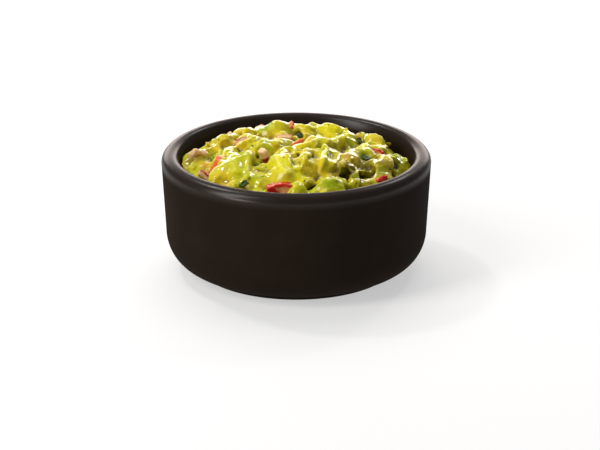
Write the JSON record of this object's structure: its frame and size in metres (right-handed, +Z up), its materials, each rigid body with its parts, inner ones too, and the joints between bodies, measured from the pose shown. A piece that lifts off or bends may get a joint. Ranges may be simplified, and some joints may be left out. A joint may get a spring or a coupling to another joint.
{
  "type": "guacamole in a dip bowl",
  "caption": "Chunky guacamole heaped in a round dark stoneware dip bowl, with diced tomato, red onion and coriander leaves.",
  "frame": {"origin": "centre of the underside of the bowl's foot, on the surface it stands on", "axes": "+Z up; -Y is the side with the large tomato piece at the rim; the bowl is round about Z"},
  "size_m": [0.11, 0.11, 0.0544],
  "materials": {
    "stoneware": "satin dark brown-black glaze",
    "guacamole": "wet mashed avocado, yellow-green",
    "tomato": "wet tomato skin and flesh",
    "onion": "wet translucent pale pink onion",
    "coriander": "dark green leaf"
  },
  "bodies": {
    "root": {"bowl": "stoneware", "guacamole": "guacamole", "tomato_1": "tomato", "tomato_2": "tomato", "tomato_3": "tomato", "tomato_4": "tomato", "tomato_5": "tomato", "tomato_6": "tomato", "tomato_7": "tomato", "tomato_8": "tomato", "onion_1": "onion", "onion_2": "onion", "onion_3": "onion", "onion_4": "onion", "onion_5": "onion", "onion_6": "onion", "onion_7": "onion", "leaf_1": "coriander", "leaf_2": "coriander", "leaf_3": "coriander", "leaf_4": "coriander", "leaf_5": "coriander"}
  },
  "joints": []
}
